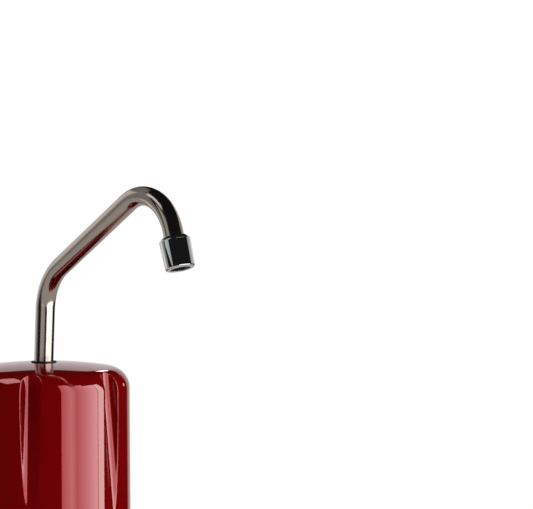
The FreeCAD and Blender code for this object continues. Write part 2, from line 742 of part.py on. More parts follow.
def draw_path(sketch):
    """Draws the centreline and ties its lengths, radii and slopes to the sheet."""
    pieces, _, _ = spout_path()
    for piece in pieces:
        if piece[0] == "run":
            sketch.addGeometry(Part.LineSegment(piece[1], piece[2]))
        else:
            circle = Part.Circle(piece[1], Vector(0, 0, 1), piece[2])
            sketch.addGeometry(Part.ArcOfCircle(circle, math.radians(piece[3]), math.radians(piece[4])))
    for bend in (1, 3, 5):
        sketch.addConstraint(Sketcher.Constraint("Tangent", bend - 1, 2, bend, 2))
        sketch.addConstraint(Sketcher.Constraint("Tangent", bend, 1, bend + 1, 1))
    bind_point(sketch, 0, 1, Vector(0, size.tube_bottom, 0), "0", "Size.tube_bottom")
    sketch.addConstraint(Sketcher.Constraint("Vertical", 0))
    lengths = ("Size.straight_top - Size.tube_bottom", "Size.stem_length", "Size.arm_length",
               "Size.tip_length - Size.adapter_start")
    for run, length in zip((0, 2, 4, 6), lengths):
        index = sketch.addConstraint(Sketcher.Constraint("Distance", run, sketch.Geometry[run].length()))
        sketch.setExpression(f"Constraints[{index}]", length)
    for bend, radius in ((1, "Size.stem_bend_r"), (3, "Size.elbow_bend_r"), (5, "Size.tip_bend_r")):
        index = sketch.addConstraint(Sketcher.Constraint("Radius", bend, sketch.Geometry[bend].Radius))
        sketch.setExpression(f"Constraints[{index}]", radius)
    slopes = ((2, 90 - size.stem_lean, "90 deg - Size.stem_lean * 1 deg"),
              (4, size.arm_slope, "Size.arm_slope * 1 deg"),
              (6, -size.tip_slope, "-Size.tip_slope * 1 deg"))
    for run, slope, expression in slopes:
        index = sketch.addConstraint(Sketcher.Constraint("Angle", run, math.radians(slope)))
        sketch.setExpression(f"Constraints[{index}]", expression)


def turn_to_spout(item):
    """Swings a piece made with the spout's plane in XZ to where the spout rests."""
    item.setExpression("Placement.Rotation.Angle", "(Size.spout_yaw - 90) * 1 deg")
    return item


def make_spout_tube():
    body = new_body("spout_tube")
    path = new_sketch(body, "TubePath")
    draw_path(path)
    section = new_sketch(body, "TubeSection", "XY_Plane")
    section.setExpression("AttachmentOffset.Base.z", "Size.tube_bottom")
    for radius, expression in ((size.tube_r, "Size.tube_r"),
                               (size.tube_r - size.tube_wall, "Size.tube_r - Size.tube_wall")):
        circle = section.addGeometry(Part.Circle(Vector(0, 0, 0), Vector(0, 0, 1), radius))
        section.addConstraint(Sketcher.Constraint("Coincident", circle, 3, -1, 1))
        index = section.addConstraint(Sketcher.Constraint("Radius", circle, radius))
        section.setExpression(f"Constraints[{index}]", expression)
    doc.recompute()
    pipe = body.newObject("PartDesign::AdditivePipe", "Tube")
    pipe.Profile = section
    pipe.Spine = (path, [f"Edge{i + 1}" for i in range(path.GeometryCount)])
    doc.recompute()
    bore_r = size.tube_r - size.tube_wall
    swept = math.pi * (size.tube_r**2 - bore_r**2) * sum(edge.Length for edge in path.Shape.Edges)
    if abs(pipe.Shape.Volume - swept) > 0.01 * swept:
        raise RuntimeError("the tube's volume is not its section times its length")
    return turn_to_spout(body)


def make_aerator():
    """The aerator's pieces, each turned about Z with its outlet face at zero, then set on the tube's end."""
    bore, lip = "Size.aerator_bore_r", "Size.aerator_lip"
    sleeve_top = "Size.aerator_length"
    shoulder = "Size.aerator_shoulder"
    shell = turned("aerator_sleeve", [
        ("Size.aerator_lip_r", "0"),
        ("Size.aerator_mouth_r", "0"),
        ("Size.aerator_r", f"{shoulder} - Size.aerator_shoulder_edge"),
        ("Size.aerator_r - Size.aerator_edge", shoulder),
        ("Size.aerator_top_r", f"{sleeve_top} - Size.aerator_edge"),
        ("Size.aerator_top_r - Size.aerator_edge", sleeve_top),
        ("Size.tube_r + Size.aerator_tube_gap", sleeve_top),
        ("Size.tube_r + Size.aerator_tube_gap", shoulder),
        (bore, shoulder),
        (bore, lip),
        ("Size.aerator_lip_r", lip),
    ])
    dress(shell, "Fillet", "MouthEdge", "Size.aerator_mouth_round", [(size.aerator_mouth_r, 0)])
    inner_r = f"{bore} - Size.loose_gap"
    start = "Size.adapter_start"
    pieces = [
        shell,
        sleeve("aerator_adapter", "Size.tube_r + Size.braze_gap", inner_r, start,
               f"{shoulder} - Size.loose_gap"),
        sleeve("aerator_washer", "Size.tube_r - Size.tube_wall", inner_r, "Size.aerator_washer_start",
               f"{start} - Size.press_gap"),
        sleeve("aerator_screen", "Size.aerator_screen_hole_r", inner_r, "Size.aerator_screen_start",
               "Size.aerator_screen_top"),
        turned("aerator_insert", [
            ("0", "Size.insert_floor"),
            (f"{inner_r} - Size.insert_wall", "Size.insert_floor"),
            (f"{inner_r} - Size.insert_wall", f"{lip} + Size.loose_gap"),
            (inner_r, f"{lip} + Size.loose_gap"),
            (inner_r, "Size.insert_top"),
            ("0", "Size.insert_top"),
        ]),
    ]
    _, tube_end, heading = spout_path()
    down = Vector(math.cos(math.radians(heading)), 0, math.sin(math.radians(heading)))
    outlet = Vector(tube_end.x, 0, tube_end.y) + down * size.adapter_start
    swing = Placement(Vector(0, 0, 0), Rotation(Vector(0, 0, 1), size.spout_yaw - 90))
    on_tube = Placement(outlet, Rotation(Vector(0, 1, 0), size.tip_slope - 90))
    for piece in pieces:
        piece.Placement = swing.multiply(on_tube)
    return pieces


def write_parts(parts):
    """Checks every object and every sub-part's shape, then writes one file for each sub-part."""
    doc.recompute()
    for item in doc.Objects:
        if {"Invalid", "Error"} & set(item.State):
            raise RuntimeError(f"{item.Label} did not recompute: {item.State}")
    for part in parts:
        if part.Shape.isNull() or not part.Shape.isValid():
            raise RuntimeError(f"{part.Label} has no valid shape")
        if len(part.Shape.Solids) != 1:
            raise RuntimeError(f"{part.Label} is {len(part.Shape.Solids)} solids")
    os.makedirs("parts", exist_ok=True)
    for part in parts:
        part.Shape.exportStep(f"parts/{part.Label}.step")
        print(part.Label, round(part.Shape.Volume))


seal_r = "Size.land_r + Size.seal_section_r + Size.press_gap"
seal = ring("housing_o_ring", seal_r, "Size.seal_section_r", "Size.seal_height")
sub_parts = [make_housing_shell(), seal, make_base_body()]
sub_parts += make_feet() + make_inlet() + make_cartridge() + make_socket_pieces() + make_ferrule()
sub_parts += [make_spout_tube()] + make_aerator()
write_parts(sub_parts)
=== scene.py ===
import json
import math
import bpy
import numpy as np
from mathutils import Matrix, Vector


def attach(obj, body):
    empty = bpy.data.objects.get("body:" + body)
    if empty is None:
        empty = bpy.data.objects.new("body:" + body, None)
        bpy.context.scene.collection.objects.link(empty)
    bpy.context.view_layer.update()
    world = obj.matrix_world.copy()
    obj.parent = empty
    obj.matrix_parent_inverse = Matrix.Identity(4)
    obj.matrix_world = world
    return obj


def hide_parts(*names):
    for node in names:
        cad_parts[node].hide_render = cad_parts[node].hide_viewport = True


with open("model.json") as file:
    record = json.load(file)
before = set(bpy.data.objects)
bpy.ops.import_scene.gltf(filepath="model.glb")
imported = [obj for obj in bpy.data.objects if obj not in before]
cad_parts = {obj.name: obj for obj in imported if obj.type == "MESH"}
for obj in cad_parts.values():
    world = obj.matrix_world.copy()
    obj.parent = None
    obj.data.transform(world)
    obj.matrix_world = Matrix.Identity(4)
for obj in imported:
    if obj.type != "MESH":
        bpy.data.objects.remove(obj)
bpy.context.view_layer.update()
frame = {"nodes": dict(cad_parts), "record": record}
print("frame loaded:", len(frame["nodes"]), "nodes")

mm = 0.001


# a grid of points becomes one smooth mesh; rows run down the first axis, columns round the second
def surfaceFromGrid(name, points, closeRows=False, flip=False, capStart=False, capEnd=False):
    rows, columns = points.shape[:2]
    rowCount = rows if closeRows else rows - 1
    row, column = np.meshgrid(np.arange(rowCount), np.arange(columns), indexing="ij")
    nextRow = (row + 1) % rows
    nextColumn = (column + 1) % columns
    quads = np.stack([row * columns + column, row * columns + nextColumn,
                      nextRow * columns + nextColumn, nextRow * columns + column], axis=-1).reshape(-1, 4)
    if flip:
        quads = quads[:, ::-1]
    faces = quads.tolist()
    if capStart:
        first = list(range(columns))
        faces.append(first if flip else first[::-1])
    if capEnd:
        last = list(range((rows - 1) * columns, rows * columns))
        faces.append(last[::-1] if flip else last)
    mesh = bpy.data.meshes.new(name)
    mesh.from_pydata(points.reshape(-1, 3).tolist(), [], faces)
    mesh.polygons.foreach_set("use_smooth", np.ones(len(mesh.polygons), dtype=bool))
    mesh.update()
    piece = bpy.data.objects.new(name, mesh)
    bpy.context.scene.collection.objects.link(piece)
    return piece


# writes a UV for every corner of a grid mesh: turns round the piece, and metres along it
def addGridUv(piece, along):
    mesh = piece.data
    columns = len(mesh.vertices) // len(along)
    corner = np.zeros(len(mesh.loops), dtype=np.int32)
    mesh.loops.foreach_get("vertex_index", corner)
    column = corner % columns
    start = np.zeros(len(mesh.polygons), dtype=np.int32)
    total = np.zeros(len(mesh.polygons), dtype=np.int32)
    mesh.polygons.foreach_get("loop_start", start)
    mesh.polygons.foreach_get("loop_total", total)
    face = np.repeat(np.arange(len(start)), total)
    highest = np.zeros(len(start), dtype=np.int32)
    np.maximum.at(highest, face, column)
    wraps = (highest[face] == columns - 1) & (column == 0)
    turns = np.where(wraps, columns, column) / columns
    layer = mesh.uv_layers.new(name="alongPiece")
    layer.data.foreach_set("uv", np.stack([turns, along[corner // columns]], axis=-1).ravel())


# an outline of (radius, height) points carried round Z
def lathe(name, outline, columns=96, closeRows=True):
    outline = np.asarray(outline)
    turn = np.linspace(0, 2 * math.pi, columns, endpoint=False)
    points = np.empty((len(outline), columns, 3))
    points[..., 0] = outline[:, :1] * np.cos(turn)
    points[..., 1] = outline[:, :1] * np.sin(turn)
    points[..., 2] = outline[:, 1:]
    return surfaceFromGrid(name, points, closeRows=closeRows)


# a straight-sided outline with each corner rounded: a corner is (radius, height, round),
# and its arc is a quadratic blend between points set back along both sides
def roundedOutline(corners, steps=6):
    corners = np.asarray(corners, dtype=float)
    place, amount = corners[:, :2], corners[:, 2]
    count = len(corners)
    outline = []
    for i in range(count):
        back = place[i - 1] - place[i]
        ahead = place[(i + 1) % count] - place[i]
        backLength, aheadLength = np.linalg.norm(back), np.linalg.norm(ahead)
        setBack = min(amount[i], backLength / 2, aheadLength / 2)
        if setBack <= 0:
            outline.append(place[i])
            continue
        start = place[i] + back / backLength * setBack
        end = place[i] + ahead / aheadLength * setBack
        t = np.linspace(0, 1, steps)[:, None]
        outline.extend((1 - t) ** 2 * start + 2 * t * (1 - t) * place[i] + t ** 2 * end)
    return np.array(outline)


# the housing

housing = {
    "apexHeight": 300 * mm,
    "domeRadius": 290 * mm,
    "shoulderRadius": 14 * mm,
    "shoulderSag": 5.5 * mm,      # from the apex down to where dome and side would meet
    "topRadius": 56.2 * mm,
    "footRadius": 57.3 * mm,
    "footHeight": 34.8 * mm,
    "rimRound": 0.8 * mm,
    "innerRadius": 51.65 * mm,
    "threadZone": 12 * mm,        # up from the rim
    "insideDome": [(0, 112 * mm), (0, 60 * mm), (0, 18 * mm), (3 * mm, 12 * mm), (8 * mm, 9 * mm)],   # in, down
    "bushSeatRadius": 8.27 * mm,
    "bossRadius": 17 * mm,
    "bossDrop": 5 * mm,           # from the apex to the dome's underside at the boss
    "bossBottom": 276 * mm,
    "fluteCount": 6,
    "fluteRadius": 6.6 * mm,
    "fluteLean": 5.31,            # degrees from upright
    "fluteAxisRadius": 54.0 * mm,
    "fluteZone": 112 * mm,        # below the apex, where the rows stand close together
    "fluteWall": 4 * mm,
    "edgeSoftness": 0.55 * mm,
    "fineSpread": 9.0,            # degrees each side of a flute that get the fine columns
    "fineStep": 0.3,              # degrees
    "coarseColumns": 22,          # between one flute's fine columns and the next
    "rows": {"dome": 18, "shoulder": 44, "flutes": 46, "below": 10, "rim": 6},
}


# where the shoulder arc touches the dome and the side: a circle tangent inside both
def shoulderArc(v):
    sideLean = (v["footRadius"] - v["topRadius"]) / (v["apexHeight"] - v["shoulderSag"] - v["footHeight"])
    cornerHeight = v["apexHeight"] - v["domeRadius"] + math.sqrt(v["domeRadius"] ** 2 - v["topRadius"] ** 2)
    domeCentre = v["apexHeight"] - v["domeRadius"]
    reach = v["domeRadius"] - v["shoulderRadius"]
    inset = v["shoulderRadius"] * math.sqrt(1 + sideLean ** 2)
    height = cornerHeight - 10 * mm   # a first guess
    for _ in range(40):               # settles on the height where both distances hold
        radius = v["topRadius"] + sideLean * (cornerHeight - height) - inset
        height = domeCentre + math.sqrt(reach ** 2 - radius ** 2)
    return radius, height, domeCentre, sideLean, cornerHeight


# the outer outline from the bush seat over dome, shoulder and side to the rim
def housingOutline(v):
    centreRadius, centreHeight, domeCentre, sideLean, cornerHeight = shoulderArc(v)
    rows, rimRound = v["rows"], v["rimRound"]
    domeEnd = math.atan2(centreRadius, centreHeight - domeCentre)
    sideStart = math.atan2(1, sideLean)
    dome = np.linspace(math.asin(v["bushSeatRadius"] / v["domeRadius"]), domeEnd, rows["dome"])[:-1]
    shoulder = np.linspace(domeEnd, sideStart, rows["shoulder"])
    outer = [np.stack([v["domeRadius"] * np.sin(dome), domeCentre + v["domeRadius"] * np.cos(dome)], axis=1)]
    outer.append(np.stack([centreRadius + v["shoulderRadius"] * np.sin(shoulder),
                           centreHeight + v["shoulderRadius"] * np.cos(shoulder)], axis=1))
    sideTop = outer[1][-1, 1]
    fluteEnd = v["apexHeight"] - v["fluteZone"]
    upper = np.linspace(sideTop, fluteEnd, rows["flutes"])[1:]
    lower = np.linspace(fluteEnd, v["footHeight"] + rimRound, rows["below"])[1:]
    side = np.concatenate([upper, lower])
    outer.append(np.stack([v["topRadius"] + sideLean * (cornerHeight - side), side], axis=1))
    rim = np.linspace(0, math.pi / 2, rows["rim"])[1:]
    rimRadius = v["footRadius"] - rimRound
    outer.append(np.stack([rimRadius + rimRound * np.cos(rim),
                           v["footHeight"] + rimRound - rimRound * np.sin(rim)], axis=1))
    return np.concatenate(outer)


# how far out a flute's leaning cylinder lets the surface stand, at angle delta from its middle
def fluteReach(v, delta, height, radius):
    axisRadius = v["fluteAxisRadius"] + (v["apexHeight"] - height) * math.tan(math.radians(v["fluteLean"]))
    across = axisRadius * np.sin(delta)
    inside = np.abs(across) < radius
    depth = np.sqrt(np.maximum(radius ** 2 - across ** 2, 0))
    return np.where(inside, axisRadius * np.cos(delta) - depth, 1.0)


# the smaller of two surfaces, with the corner between them rounded over the distance soft
def softLower(a, b, soft):
    blend = np.maximum(soft - np.abs(a - b), 0) / soft
    return np.minimum(a, b) - blend ** 2 * soft / 4


# the lathed outline with the flutes taken out of it, outside and, a wall's thickness further in, inside
def makeHousing(v):
    count = v["fluteCount"]
    fine = np.arange(-v["fineSpread"], v["fineSpread"], v["fineStep"])
    coarse = np.linspace(v["fineSpread"], 360 / count - v["fineSpread"], v["coarseColumns"], endpoint=False)
    oneFlute = np.radians(np.concatenate([fine, coarse]))
    turn = np.concatenate([oneFlute + k * 2 * math.pi / count for k in range(count)])
    halfPitch = math.pi / count
    delta = np.mod(turn + halfPitch, 2 * halfPitch) - halfPitch   # angle from the nearest flute's middle
    outer = housingOutline(v)
    inner = np.array([
        (v["innerRadius"], v["footHeight"]),
        (v["innerRadius"], v["footHeight"] + v["threadZone"]),
        *((v["innerRadius"] - inset, v["apexHeight"] - drop) for inset, drop in v["insideDome"]),
        (v["bossRadius"], v["apexHeight"] - v["bossDrop"]),
        (v["bossRadius"], v["bossBottom"]),
        (v["bushSeatRadius"], v["bossBottom"]),
    ])
    outerRadius = softLower(outer[:, :1], fluteReach(v, delta[None, :], outer[:, 1:], v["fluteRadius"]),
                            v["edgeSoftness"])
    innerReach = fluteReach(v, delta[None, :], inner[:, 1:], v["fluteRadius"] + v["fluteWall"])
    innerRadius = softLower(inner[:, :1], innerReach, v["edgeSoftness"])
    radius = np.concatenate([outerRadius, innerRadius])
    height = np.concatenate([outer[:, 1:], inner[:, 1:]])
    points = np.stack([radius * np.cos(turn), radius * np.sin(turn), np.broadcast_to(height, radius.shape)], axis=-1)
    piece = surfaceFromGrid("housingShell", points, closeRows=True, flip=True)
    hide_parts("housing_shell")
    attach(piece, "housing")
    return piece


housingShell = makeHousing(housing)
print("housing made:", len(housingShell.data.polygons), "faces")

# the spout tube

spout = {
    "outerRadius": 6.35 * mm,
    "wall": 0.9 * mm,
    "bottom": 285 * mm,
    "runs": [15.3 * mm, 30.6 * mm, 84.2 * mm, 12.6 * mm],
    "bends": [(60 * mm, 3.3), (36 * mm, 56.2), (31 * mm, 103)],   # radius, turn in degrees
    "yaw": 14.1 - 90,             # degrees from +X to the spout's plane
    "flattening": 0.05,           # how much a bend narrows the tube in its plane
    "bulge": 0.4,                 # how much of that comes out across the plane
    "gentleTurn": 0.2,            # a bend of fewer radians than this isn't flattened
    "edge": 0.25 * mm,            # how far the cut ends are broken
    "runStep": 3 * mm,
    "bendStep": 2.5,              # degrees
    "sides": 96,
}


# the centreline in its own plane: points, unit directions and how far each is into a bend (0 to 1)
def spoutCentreline(v):
    place = np.array([0.0, v["bottom"]])
    heading = math.pi / 2
    points, headings, bending = [], [], []
    for i, run in enumerate(v["runs"]):
        steps = max(3, int(run / v["runStep"]))
        forward = np.array([math.cos(heading), math.sin(heading)])
        for t in np.linspace(0, 1, steps, endpoint=i == len(v["runs"]) - 1):
            points.append(place + forward * run * t)
            headings.append(heading)
            bending.append(0.0)
        place = place + forward * run
        if i == len(v["bends"]):
            break
        bendRadius, turn = v["bends"][i]
        turn = math.radians(turn)
        centre = place + bendRadius * np.array([math.sin(heading), -math.cos(heading)])
        count = max(3, int(math.degrees(turn) / v["bendStep"]))
        for t in np.linspace(0, 1, count, endpoint=False):
            angle = heading - turn * t
            points.append(centre + bendRadius * np.array([-math.sin(angle), math.cos(angle)]))
            headings.append(angle)
            bending.append(math.sin(math.pi * t) ** 0.7 if turn > v["gentleTurn"] else 0.0)
        heading -= turn
        place = centre + bendRadius * np.array([-math.sin(heading), math.cos(heading)])
    return np.array(points), np.array(headings), np.array(bending)


# turns (x, z) in the spout's plane and y across it into the row frame
def intoSpoutPlane(points, yaw):
    turn = math.radians(yaw)
    out = np.empty_like(points)
    out[..., 0] = points[..., 0] * math.cos(turn) - points[..., 1] * math.sin(turn)
    out[..., 1] = points[..., 0] * math.sin(turn) + points[..., 1] * math.cos(turn)
    out[..., 2] = points[..., 2]
    return out


# a circle carried along the centreline, a little narrower in its plane where the tube bends
def makeSpoutTube(v):
    centre, heading, bending = spoutCentreline(v)
    around = np.linspace(0, 2 * math.pi, v["sides"], endpoint=False)
    normal = np.stack([-np.sin(heading), np.cos(heading)], axis=1)
    order = np.arange(len(centre))
    rows = np.concatenate([order, order[::-1]])   # up the outside, over the far end, back down the inside
    radius = np.concatenate([np.full(len(order), v["outerRadius"]),
                             np.full(len(order), v["outerRadius"] - v["wall"])])
    radius[[0, len(order) - 1]] -= v["edge"]
    radius[[len(order), -1]] += v["edge"]
    inPlane = radius * (1 - v["flattening"] * bending[rows])
    across = radius * (1 + v["bulge"] * v["flattening"] * bending[rows])
    points = np.empty((len(rows), len(around), 3))
    points[..., 0] = centre[rows, :1] + normal[rows, :1] * inPlane[:, None] * np.cos(around)
    points[..., 2] = centre[rows, 1:] + normal[rows, 1:] * inPlane[:, None] * np.cos(around)
    points[..., 1] = across[:, None] * np.sin(around)
    piece = surfaceFromGrid("spoutTube", intoSpoutPlane(points, v["yaw"]), closeRows=True, flip=True)
    step = np.linalg.norm(np.diff(centre, axis=0), axis=1)
    along = np.concatenate([[0], np.cumsum(step)])[rows]
    addGridUv(piece, along)
    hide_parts("spout_tube")
    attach(piece, "spout")
    return piece, centre[-1], heading[-1]


spoutTube, tubeEnd, tipHeading = makeSpoutTube(spout)
print("spout tube made")

# the aerator, turned about its own axis with the outlet face at zero

aerator = {
    "length": 20.5 * mm,
    "shoulder": 18.2 * mm,
    "mouthRadius": 9.2 * mm,
    "topRadius": 9.8 * mm,
    "collarRadius": 7.6 * mm,
    "lipRadius": 6.2 * mm,
    "lipHeight": 1.5 * mm,
    "boreRadius": 8.05 * mm,
    "tubeClear": 6.5 * mm,
    "tubeInside": 11 * mm,        # how far up from the outlet the tube's end stands
    "gridRings": 3,
    "gridSpokes": 12,
    "ringEdge": 0.25,             # a ring stands where its cosine is over this, and a spoke likewise
    "spokeEdge": 0.55,
    "ribsHeight": 2.0 * mm,
    "dishHeight": 3.2 * mm,
    "seatHeight": 1.6 * mm,
    "insertTop": 8.7 * mm,
    "insertRows": 44,
    "insertColumns": 192,
}


# puts a piece made about Z on the end of the tube, with +Z running up the tube
def ontoTubeEnd(piece, v):
    down = Vector((math.cos(tipHeading), 0, math.sin(tipHeading)))
    outlet = Vector((tubeEnd[0], 0, tubeEnd[1])) + down * v["tubeInside"]
    tilt = Matrix.Rotation(-(math.pi / 2 + tipHeading), 4, "Y")
    swing = Matrix.Rotation(math.radians(spout["yaw"]), 4, "Z")
    piece.data.transform(swing @ Matrix.Translation(outlet) @ tilt)
    piece.data.update()
    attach(piece, "spout")


# the sleeve's outline, wall and bore, lathed; a corner is (radius, height, round)
def makeAeratorSleeve(v):
    outline = roundedOutline([
        (v["lipRadius"], 0, 0.35 * mm),
        (v["mouthRadius"], 0, 1.7 * mm),
        (v["topRadius"], v["shoulder"], 0.6 * mm),
        (v["collarRadius"], v["length"], 0.35 * mm),
        (v["tubeClear"], v["length"], 0.1 * mm),
        (v["tubeClear"], v["shoulder"], 0),
        (v["boreRadius"], v["shoulder"], 0),
        (v["boreRadius"], v["lipHeight"], 0),
        (v["lipRadius"], v["lipHeight"], 0.3 * mm),
    ], steps=9)
    piece = lathe("aeratorSleeve", outline, 128)
    ontoTubeEnd(piece, v)
    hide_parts("aerator_sleeve")
    return piece


# the insert's face: a shallow dish whose rings and spokes stand proud, height = dish + ribs(radius, angle)
def makeAeratorInsert(v):
    face = np.linspace(0.05 * mm, v["lipRadius"] + 0.1 * mm, v["insertRows"])
    radius = np.concatenate([face, [v["boreRadius"] - 0.1 * mm] * 2])
    turn = np.linspace(0, 2 * math.pi, v["insertColumns"], endpoint=False)
    share = radius / v["lipRadius"]
    rings = np.cos(2 * math.pi * v["gridRings"] * share) > v["ringEdge"]
    spokes = np.cos(v["gridSpokes"] * turn) > v["spokeEdge"]
    proud = (rings[:, None] | spokes[None, :]) & (share[:, None] < 0.97)
    height = np.where(proud, v["ribsHeight"], v["dishHeight"])
    height[-3:-1] = v["seatHeight"]
    height[-1] = v["insertTop"]
    points = np.empty((len(radius), len(turn), 3))
    points[..., 0] = radius[:, None] * np.cos(turn)
    points[..., 1] = radius[:, None] * np.sin(turn)
    points[..., 2] = height
    piece = surfaceFromGrid("aeratorInsert", points, flip=False, capStart=True, capEnd=True)
    ontoTubeEnd(piece, v)
    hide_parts("aerator_insert")
    return piece


aeratorSleeve = makeAeratorSleeve(aerator)
aeratorInsert = makeAeratorInsert(aerator)
print("aerator made")

# the bush in the middle of the dome

bush = {
    "outerRadius": 8.25 * mm,
    "boreRadius": 6.42 * mm,
    "bottom": 292 * mm,
    "top": 300.6 * mm,
}


def makeBush(v):
    outline = roundedOutline([
        (v["boreRadius"], v["bottom"], 0),
        (v["outerRadius"], v["bottom"], 0),
        (v["outerRadius"], v["top"], 0.45 * mm),
        (v["boreRadius"], v["top"], 0.3 * mm),
    ])
    piece = lathe("spoutBush", outline, 96)
    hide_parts("spout_bush")
    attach(piece, "housing")
    return piece


spoutBush = makeBush(bush)
print("bush made")

# materials


nodeGrid = {"left": -1100, "top": 300, "columnWidth": 220, "rowHeight": 340}


# puts nodes in labelled frames and in columns from left to right; parts is {frame label: [nodes]}
def layOut(tree, parts):
    for row, (label, group) in enumerate(parts.items()):
        box = tree.nodes.new("NodeFrame")
        box.label = label
        for column, node in enumerate(group):
            node.parent = box
            node.location = (nodeGrid["left"] + nodeGrid["columnWidth"] * column,
                             nodeGrid["top"] - nodeGrid["rowHeight"] * row)


# gloss red moulding: a clear deep red whose highlights are tinted, with faint waviness from the mould
def redMoulding(name, colour, highlight):
    material = bpy.data.materials.new(name)
    material.use_nodes = True
    tree = material.node_tree
    nodes = tree.nodes
    links = tree.links
    nodes.clear()
    place = nodes.new("ShaderNodeTexCoord")
    place.label = "place on the moulding"
    cloud = nodes.new("ShaderNodeTexNoise")
    cloud.label = "slow change in the red"
    cloud.inputs["Scale"].default_value = 9.0
    cloud.inputs["Detail"].default_value = 2.0
    redRange = nodes.new("ShaderNodeMix")
    redRange.label = "deeper to fuller red"
    redRange.data_type = "RGBA"
    redRange.inputs["A"].default_value = (colour[0] * 0.93, colour[1] * 0.9, colour[2] * 0.9, 1)
    redRange.inputs["B"].default_value = (colour[0] * 1.07, colour[1] * 1.1, colour[2] * 1.1, 1)
    haze = nodes.new("ShaderNodeTexNoise")
    haze.label = "handling haze"
    haze.inputs["Scale"].default_value = 38.0
    haze.inputs["Detail"].default_value = 5.0
    hazeRange = nodes.new("ShaderNodeMapRange")
    hazeRange.label = "haze to roughness"
    hazeRange.inputs["To Min"].default_value = 0.02
    hazeRange.inputs["To Max"].default_value = 0.045
    wave = nodes.new("ShaderNodeTexNoise")
    wave.label = "mould waviness"
    wave.inputs["Scale"].default_value = 30.0
    wave.inputs["Detail"].default_value = 1.0
    waveBump = nodes.new("ShaderNodeBump")
    waveBump.label = "waviness as relief"
    waveBump.inputs["Strength"].default_value = 0.03
    waveBump.inputs["Distance"].default_value = 0.0006
    shader = nodes.new("ShaderNodeBsdfPrincipled")
    shader.label = "red moulding"
    shader.inputs["IOR"].default_value = 1.9
    shader.inputs["Specular IOR Level"].default_value = 0.9
    shader.inputs["Specular Tint"].default_value = (*highlight, 1)
    output = nodes.new("ShaderNodeOutputMaterial")
    layOut(tree, {"red": [place, cloud, redRange], "haze": [haze, hazeRange], "relief": [wave, waveBump],
                  "surface": [shader, output]})
    links.new(place.outputs["Object"], cloud.inputs["Vector"])
    links.new(place.outputs["Object"], haze.inputs["Vector"])
    links.new(place.outputs["Object"], wave.inputs["Vector"])
    links.new(cloud.outputs["Fac"], redRange.inputs["Factor"])
    links.new(haze.outputs["Fac"], hazeRange.inputs["Value"])
    links.new(wave.outputs["Fac"], waveBump.inputs["Height"])
    links.new(redRange.outputs["Result"], shader.inputs["Base Color"])
    links.new(hazeRange.outputs["Result"], shader.inputs["Roughness"])
    links.new(waveBump.outputs["Normal"], shader.inputs["Normal"])
    links.new(shader.outputs["BSDF"], output.inputs["Surface"])
    return material


# drawn tube steel: fine lines run along the tube, a little darker where the polish is thinner
def drawnSteel(name, colour, roughness):
    material = bpy.data.materials.new(name)
    material.use_nodes = True
    tree = material.node_tree
    nodes = tree.nodes
    links = tree.links
    nodes.clear()
    place = nodes.new("ShaderNodeTexCoord")
    place.label = "turns round and metres along"
    stretch = nodes.new("ShaderNodeMapping")
    stretch.label = "lines drawn out along the tube"
    stretch.inputs["Scale"].default_value = (90.0, 14.0, 1.0)
    lines = nodes.new("ShaderNodeTexNoise")
    lines.label = "drawing lines"
    lines.inputs["Scale"].default_value = 1.0
    lines.inputs["Detail"].default_value = 4.0
    lineRange = nodes.new("ShaderNodeMapRange")
    lineRange.label = "lines to roughness"
    lineRange.inputs["To Min"].default_value = roughness * 0.8
    lineRange.inputs["To Max"].default_value = roughness * 1.25
    lineBump = nodes.new("ShaderNodeBump")
    lineBump.label = "lines as relief"
    lineBump.inputs["Strength"].default_value = 0.04
    lineBump.inputs["Distance"].default_value = 0.0002
    stain = nodes.new("ShaderNodeTexNoise")
    stain.label = "thin and full polish"
    stain.inputs["Scale"].default_value = 45.0
    stain.inputs["Detail"].default_value = 3.0
    tone = nodes.new("ShaderNodeMix")
    tone.label = "steel tone"
    tone.data_type = "RGBA"
    tone.inputs["A"].default_value = (colour[0] * 0.94, colour[1] * 0.93, colour[2] * 0.92, 1)
    tone.inputs["B"].default_value = (colour[0] * 1.05, colour[1] * 1.05, colour[2] * 1.05, 1)
    shader = nodes.new("ShaderNodeBsdfPrincipled")
    shader.label = "polished steel"
    shader.inputs["Metallic"].default_value = 1.0
    output = nodes.new("ShaderNodeOutputMaterial")
    layOut(tree, {"lines": [place, stretch, lines, lineRange, lineBump], "tone": [stain, tone],
                  "surface": [shader, output]})
    links.new(place.outputs["UV"], stretch.inputs["Vector"])
    links.new(stretch.outputs["Vector"], lines.inputs["Vector"])
    links.new(lines.outputs["Fac"], lineRange.inputs["Value"])
    links.new(lines.outputs["Fac"], lineBump.inputs["Height"])
    links.new(place.outputs["Object"], stain.inputs["Vector"])
    links.new(stain.outputs["Fac"], tone.inputs["Factor"])
    links.new(tone.outputs["Result"], shader.inputs["Base Color"])
    links.new(lineRange.outputs["Result"], shader.inputs["Roughness"])
    links.new(lineBump.outputs["Normal"], shader.inputs["Normal"])
    links.new(shader.outputs["BSDF"], output.inputs["Surface"])
    return material


